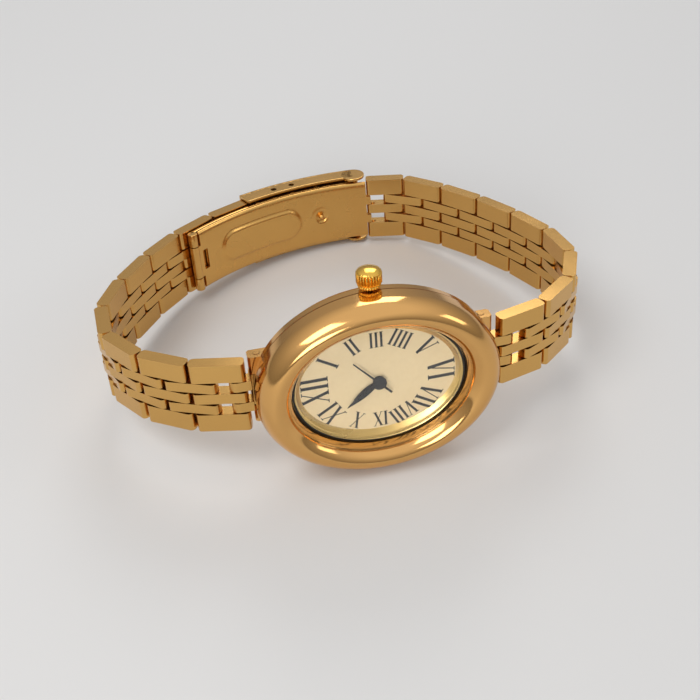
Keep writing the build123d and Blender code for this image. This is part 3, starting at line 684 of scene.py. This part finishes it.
def divided(start, end, step):
    """Even places from start to end, about a step apart."""
    count = max(1, round(abs(end - start) / step))
    return [start + (end - start) * k / count for k in range(count + 1)]


def curved_sheet(shape, angles, rows, inner, outer, keep=None, press=None):
    """Closed sheet of the cells that keep allows, its wrist side pressed in by press."""
    inside = {}
    outside = {}
    for i, angle in enumerate(angles):
        for j, row in enumerate(rows):
            x, z = on_curve(inner + (press(angle, row) if press else 0), angle)
            inside[i, j] = shape.verts.new((x, row, z))
            x, z = on_curve(outer, angle)
            outside[i, j] = shape.verts.new((x, row, z))
    cells = set()
    for i in range(len(angles) - 1):
        for j in range(len(rows) - 1):
            if keep is None or keep((angles[i] + angles[i + 1]) / 2, (rows[j] + rows[j + 1]) / 2):
                cells.add((i, j))
    for i, j in cells:
        shape.faces.new((inside[i, j], inside[i + 1, j], inside[i + 1, j + 1], inside[i, j + 1]))
        shape.faces.new((outside[i, j], outside[i, j + 1], outside[i + 1, j + 1], outside[i + 1, j]))
        for near, first, second in (
            ((i - 1, j), (i, j), (i, j + 1)),
            ((i + 1, j), (i + 1, j), (i + 1, j + 1)),
            ((i, j - 1), (i, j), (i + 1, j)),
            ((i, j + 1), (i, j + 1), (i + 1, j + 1)),
        ):
            if near not in cells:
                shape.faces.new((inside[first], inside[second], outside[second], outside[first]))
    loose = [vertex for vertex in shape.verts if not vertex.link_faces]
    bmesh.ops.delete(shape, geom=loose, context="VERTS")


def add_rod(shape, centre, radius, low, high, sides=40):
    """Round rod across the strap about a side-view point."""
    turns = [2 * pi * k / sides for k in range(sides)]
    circle = [(centre[0] + radius * cos(turn), centre[1] + radius * sin(turn)) for turn in turns]
    prism(circle, low, high, shape=shape)


def side_view(point):
    """Side-view place of a point."""
    return point.x, point.z


def soften(shape, size, limit=50):
    """Round the sharp edges of a shape a little."""
    bmesh.ops.recalc_face_normals(shape, faces=shape.faces)
    edges = [
        edge for edge in shape.edges
        if len(edge.link_faces) == 2 and edge.calc_face_angle() > radians(limit)
    ]
    bmesh.ops.bevel(
        shape, geom=edges, offset=size, segments=2, profile=0.5, affect="EDGES", clamp_overlap=True
    )


def carved(shape, cutter):
    """Shape less the cutter, both used up."""
    pair = []
    for name, source in (("carved_shape", shape), ("carving_tool", cutter)):
        bmesh.ops.recalc_face_normals(source, faces=source.faces)
        mesh = bpy.data.meshes.new(name)
        source.to_mesh(mesh)
        source.free()
        item = bpy.data.objects.new(name, mesh)
        bpy.context.scene.collection.objects.link(item)
        pair.append(item)
    change = pair[0].modifiers.new("holes", "BOOLEAN")
    change.object = pair[1]
    change.operation = "DIFFERENCE"
    change.solver = "EXACT"
    bpy.context.view_layer.update()
    result = bmesh.new()
    done = bpy.data.meshes.new_from_object(pair[0].evaluated_get(bpy.context.evaluated_depsgraph_get()))
    result.from_mesh(done)
    for item in pair:
        mesh = item.data
        bpy.data.objects.remove(item)
        bpy.data.meshes.remove(mesh)
    bpy.data.meshes.remove(done)
    return result


bar_angle = angle_of(cover_bar)
hinge_angle = angle_of(hinge_point)
fold_angle = angle_of(fold_point)
free_bar_angle = hinge_angle + sweep_of(cover_hinge_inset)
snap_angle = bar_angle + (hinge_angle - bar_angle) * snap_share
strap_inner = clasp_radius - link_thickness / 2
middle_outer = strap_inner - strap_gap
middle_inner = middle_outer - leaf_thickness
inner_outer = middle_inner - leaf_gap
inner_inner = inner_outer - leaf_thickness
cover_inner = clasp_radius + link_thickness / 2 + cover_gap
cover_outer = cover_inner + cover_thickness
fold_cut = sweep_of(fold_knuckle_radius + knuckle_gap, middle_inner)
leaf_start = fold_angle + fold_cut
recess_angle = bar_angle - sweep_of(recess_offset, inner_inner)
side_knuckle = knuckle_half_width + knuckle_gap


def smooth(value):
    """Soft step from 0 to 1."""
    value = min(max(value, 0), 1)
    return value * value * (3 - 2 * value)


def inner_press(angle, row):
    """Depth of the snap's dimple and the rolled edges, less the rise of the pressed oval."""
    along_leaf = radians(angle - recess_angle) * inner_inner
    beyond = max(abs(along_leaf) - (recess_length - recess_width) / 2, 0)
    inside = recess_width / 2 - hypot(beyond, row)
    oval = -oval_rise * smooth(inside / oval_slope + 0.5)
    reach = snap_pit_radius - hypot(radians(angle - snap_angle) * inner_inner, row)
    rim = rim_height * exp(-((reach / rim_width + 0.9) * 1.6) ** 2)
    pit = snap_pit_depth * smooth(reach / rim_width + 0.5) - rim
    edge = max(abs(row) - (leaf_half_width - edge_roll), 0) / edge_roll
    return oval + pit + edge_drop * (1 - sqrt(max(1 - edge * edge, 0)))


def inner_cells(angle, row):
    """Cells of the inner leaf: its tab to the fold, and the slot beside that."""
    if angle < leaf_start:
        return abs(row) < knuckle_half_width
    from_fold = radians(angle - leaf_start) * inner_inner
    return not (slot_start < from_fold < slot_start + slot_width and abs(row) < slot_half_length)


rolled = [leaf_half_width - edge_roll * (1 - sin(pi / 2 * k / 8)) for k in range(9)]
upper_rows = divided(knuckle_half_width, rolled[0], cell)[:-1] + rolled
knuckle_rows = divided(-knuckle_half_width, knuckle_half_width, cell)[1:-1]
leaf_rows = [-row for row in reversed(upper_rows)] + knuckle_rows + upper_rows
seat_neck = free_bar_angle - sweep_of(link_thickness / 2 + knuckle_gap * 2)
stop_foot = seat_neck - sweep_of(link_thickness / 2)
inner_leaf = bmesh.new()
angles = divided(fold_angle, leaf_start, sweep_of(cell))
angles += divided(leaf_start, seat_neck, sweep_of(cell))[1:]
curved_sheet(inner_leaf, angles, leaf_rows, inner_inner, inner_outer, inner_cells, inner_press)
add_rod(inner_leaf, side_view(fold_point), fold_knuckle_radius, -knuckle_half_width, knuckle_half_width)
for low, high in inner_rows:
    ends = [on_curve(inner_inner, stop_foot), on_curve(inner_outer, stop_foot)]
    ends.append((stop_reach, free_bar_height - pin_radius / 2))
    ends.append((stop_reach, free_bar_height + link_thickness / 2))
    prism(ends, low, high, shape=inner_leaf)
tab = [snap_angle - sweep_of(tab_length / 2), snap_angle, snap_angle + sweep_of(tab_length / 2)]
tab_rows = [-tab_half_width, 0, tab_half_width]
curved_sheet(inner_leaf, tab, tab_rows, inner_outer, cover_inner - snap_pin_radius)
soften(inner_leaf, leaf_softness)
ball = on_curve(inner_inner + snap_pit_depth * 0.5, snap_angle)
ball_place = Matrix.Translation((ball[0], 0, ball[1]))
bmesh.ops.create_uvsphere(
    inner_leaf, u_segments=24, v_segments=12, radius=snap_ball_radius, matrix=ball_place
)
finish_mesh(
    "pressed_leaf", inner_leaf, "inner_blade", satin_gold, ["clasp_inner_blade"], sharp=40
)

# Middle leaf, with its window, ears and side knuckles
neck_angle = hinge_angle - sweep_of(hinge_ear_radius * 2, middle_outer)


def middle_cells(angle, row):
    """Cells of the middle leaf: its two tabs to the fold, and the window round the snap."""
    if angle < leaf_start:
        return abs(row) > side_knuckle
    from_snap = radians(angle - snap_angle) * middle_inner
    return not (abs(from_snap) < window_length / 2 and abs(row) < window_half_width)


middle_leaf = bmesh.new()
window_sweep = sweep_of(window_length / 2, middle_inner)
stops = [fold_angle, leaf_start, snap_angle - window_sweep, snap_angle + window_sweep, neck_angle]
angles = [fold_angle]
for low, high in zip(stops, stops[1:]):
    angles += divided(low, high, sweep_of(middle_cell))[1:]
side_rows = [side_knuckle, leaf_half_width]
rows = [-row for row in reversed(side_rows)] + [-window_half_width, window_half_width] + side_rows
curved_sheet(middle_leaf, angles, rows, middle_inner, middle_outer, middle_cells)
ends = [on_curve(middle_inner, neck_angle), on_curve(middle_outer, neck_angle)]
ends.append(on_curve(hinge_radius, hinge_angle - sweep_of(hinge_pin_radius)))
ends.append(on_curve(hinge_radius - hinge_ear_radius / 2, hinge_angle))
prism(ends, -leaf_half_width, leaf_half_width, shape=middle_leaf)
add_rod(middle_leaf, side_view(hinge_point), hinge_ear_radius, -leaf_half_width, leaf_half_width)
for low, high in ((side_knuckle, leaf_half_width), (-leaf_half_width, -side_knuckle)):
    add_rod(middle_leaf, side_view(fold_point), fold_knuckle_radius, low, high)
soften(middle_leaf, leaf_softness)
finish_mesh(
    "hinged_leaf", middle_leaf, "middle_blade", satin_gold, ["clasp_middle_blade"], sharp=40
)

# Cover, with its side walls, ears and adjusting holes
cover_start = bar_angle - sweep_of(cover_overhang)
cover_side = outer_rows[0][1] + cover_side_gap
cover_half_width = cover_side + cover_wall
walls = bmesh.new()
angles = divided(cover_start, hinge_angle, sweep_of(cover_cell))
wall_spans = ((cover_side, cover_half_width), (-cover_half_width, -cover_side))
wall_foot = cover_inner - cover_wall_depth
for low, high in wall_spans:
    curved_sheet(walls, angles, [low, high], wall_foot, cover_inner + cover_thickness / 2)
soften(walls, cover_softness)
drills = bmesh.new()
for k in range(adjusting_hole_count):
    hole = on_curve(clasp_radius, bar_angle + sweep_of(adjusting_pitch) * (k + 1))
    drill_reach = cover_half_width + drill_overrun
    add_rod(drills, hole, hole_radius, -drill_reach, drill_reach, 24)
walls = carved(walls, drills)
cover = bmesh.new()
cover_rows = divided(-cover_half_width, cover_half_width, cover_row_cell)
curved_sheet(cover, angles, cover_rows, cover_inner, cover_outer)
for low, high in wall_spans:
    add_rod(cover, side_view(hinge_point), cover_outer - hinge_radius, low, high, 48)
for low, high in ((ear_start, ear_end), (-ear_end, -ear_start)):
    add_rod(cover, side_view(catch_point), catch_knuckle_radius, low, high, 32)
    near = angle_of(catch_point) - sweep_of(catch_knuckle_radius)
    far = angle_of(catch_point) + sweep_of(catch_knuckle_radius)
    ear_top = cover_outer + catch_gap + catch_knuckle_radius
    ends = [on_curve(cover_inner, near), on_curve(ear_top, near)]
    ends += [on_curve(ear_top, far), on_curve(cover_inner, far)]
    prism(ends, low, high, shape=cover)
soften(cover, cover_softness)
absorb(cover, walls)
finish_mesh("clasp_lid", cover, "clasp_cover", link_gold, ["clasp_cover"], sharp=40)

# Safety catch: finger flap with a raised lip
catch_radius = cover_outer + catch_gap + catch_knuckle_radius
catch_angle = angle_of(catch_point)
lip_angle = catch_angle - sweep_of(catch_length, catch_radius)
flap_inner = cover_outer + catch_gap
flap_outer = flap_inner + catch_thickness
flap = bmesh.new()
half_flap = catch_width / 2
flap_angles = divided(lip_angle, catch_angle, sweep_of(flap_cell))
curved_sheet(flap, flap_angles, [-half_flap, 0, half_flap], flap_inner, flap_outer)
ends = [on_curve(flap_inner, lip_angle), on_curve(flap_outer, lip_angle + sweep_of(catch_thickness))]
ends.append(on_curve(flap_outer + catch_lip, lip_angle - sweep_of(catch_lip_lean)))
ends.append(on_curve(flap_inner + catch_lip, lip_angle - sweep_of(catch_lip_lean + catch_thickness)))
prism(ends, -half_flap, half_flap, shape=flap)
add_rod(flap, side_view(catch_point), catch_knuckle_radius, -half_flap, half_flap, 32)
soften(flap, leaf_softness)
finish_mesh("catch_flap", flap, "safety_catch", link_gold, ["safety_catch"], sharp=40)

# Carried-over nodes
for name, material in {
    "mid_case": rose_gold, "case_back": rose_gold, "end_links": link_gold,
    "clasp_cover_pins": link_gold, "middle_blade_pin": link_gold, "lug_spring_bars": rose_gold, "stem": steel,
    "setting_lever": steel, "movement": steel, "battery": steel, "movement_holder": seal,
    "crystal_gasket": seal, "back_gasket": seal,
}.items():
    carried = frame["nodes"][name]
    carried.data.materials.clear()
    carried.data.materials.append(material)

# Table, lamps and camera
floor_mesh = bpy.data.meshes.new("table_top")
floor_shape = bmesh.new()
bmesh.ops.create_grid(floor_shape, x_segments=1, y_segments=1, size=2)
floor_shape.to_mesh(floor_mesh)
floor_shape.free()
floor = bpy.data.objects.new("table_top", floor_mesh)
bpy.context.scene.collection.objects.link(floor)
floor_paint, tree, shader = new_material("floor_paint")
shader.inputs["Base Color"].default_value = (0.80, 0.79, 0.77, 1)
shader.inputs["Roughness"].default_value = 0.7
floor_mesh.materials.append(floor_paint)

world = bpy.data.worlds.new("studio")
bpy.context.scene.world = world
world.use_nodes = True
tree = world.node_tree
sky = tree.nodes["Background"]
paths = add_node(tree, "ShaderNodeLightPath")
plain = add_node(tree, "ShaderNodeBackground")
plain.inputs["Strength"].default_value = 1
position = add_node(tree, "ShaderNodeTexCoord")
height = add_node(tree, "ShaderNodeSeparateXYZ")
tree.links.new(position.outputs["Generated"], height.inputs[0])
shade = add_node(tree, "ShaderNodeValToRGB")
shade.color_ramp.elements[0].position = 0.02
shade.color_ramp.elements[0].color = (0.30, 0.29, 0.28, 1)
shade.color_ramp.elements[1].position = 0.85
shade.color_ramp.elements[1].color = (0.92, 0.92, 0.94, 1)
middle = shade.color_ramp.elements.new(0.40)
middle.color = (0.50, 0.49, 0.48, 1)
tree.links.new(height.outputs["Z"], shade.inputs[0])
tree.links.new(shade.outputs[0], plain.inputs["Color"])
seen = paths.outputs["Is Camera Ray"]
for kind in ("Is Glossy Ray", "Is Transmission Ray"):
    adding = add_node(tree, "ShaderNodeMath", operation="ADD", use_clamp=True)
    tree.links.new(seen, adding.inputs[0])
    tree.links.new(paths.outputs[kind], adding.inputs[1])
    seen = adding.outputs[0]
sky.inputs["Color"].default_value = (0.95, 0.96, 1.0, 1)
sky.inputs["Strength"].default_value = 0.42
mix = add_node(tree, "ShaderNodeMixShader")
tree.links.new(seen, mix.inputs[0])
tree.links.new(sky.outputs[0], mix.inputs[1])
tree.links.new(plain.outputs[0], mix.inputs[2])
tree.links.new(mix.outputs[0], tree.nodes["World Output"].inputs["Surface"])


def lamp(name, place, size, power, aim=(0, 0, 0.01)):
    """Square area lamp aimed at the watch, with its place in metres and its power in watts."""
    data = bpy.data.lights.new(name, "AREA")
    data.size = size
    data.energy = power
    light = bpy.data.objects.new(name, data)
    light.location = place
    light.rotation_euler = (Vector(aim) - Vector(place)).to_track_quat("-Z", "Y").to_euler()
    bpy.context.scene.collection.objects.link(light)


lamp("key_lamp", (-0.20, -0.08, 0.36), 0.20, 0.50)
lamp("back_lamp", (0.10, 0.34, 0.30), 0.18, 0.36)
lamp("side_lamp", (0.38, -0.12, 0.22), 0.14, 0.12)
lamp("front_lamp", (-0.16, -0.42, 0.20), 0.20, 0.62)

camera_place = (-20.884, -114.666, 104.684)
camera_way = (0.14438, 0.72182, -0.67686)
camera_up = (0.17191, 0.65533, 0.73552)
camera_lens = 54.5
camera_data = bpy.data.cameras.new("photo_camera")
camera_data.lens = camera_lens
camera_data.sensor_width = 36
camera_data.clip_start = 0.005
camera = bpy.data.objects.new("photo_camera", camera_data)
back = -Vector(camera_way)
right = Vector(camera_up).cross(back).normalized()
up = back.cross(right)
camera_axes = Matrix((right, up, back)).transposed().to_4x4()
camera.matrix_world = Matrix.Translation(Vector(camera_place) * mm) @ camera_axes
bpy.context.scene.collection.objects.link(camera)
bpy.context.scene.camera = camera
bpy.context.scene.view_settings.view_transform = "Standard"
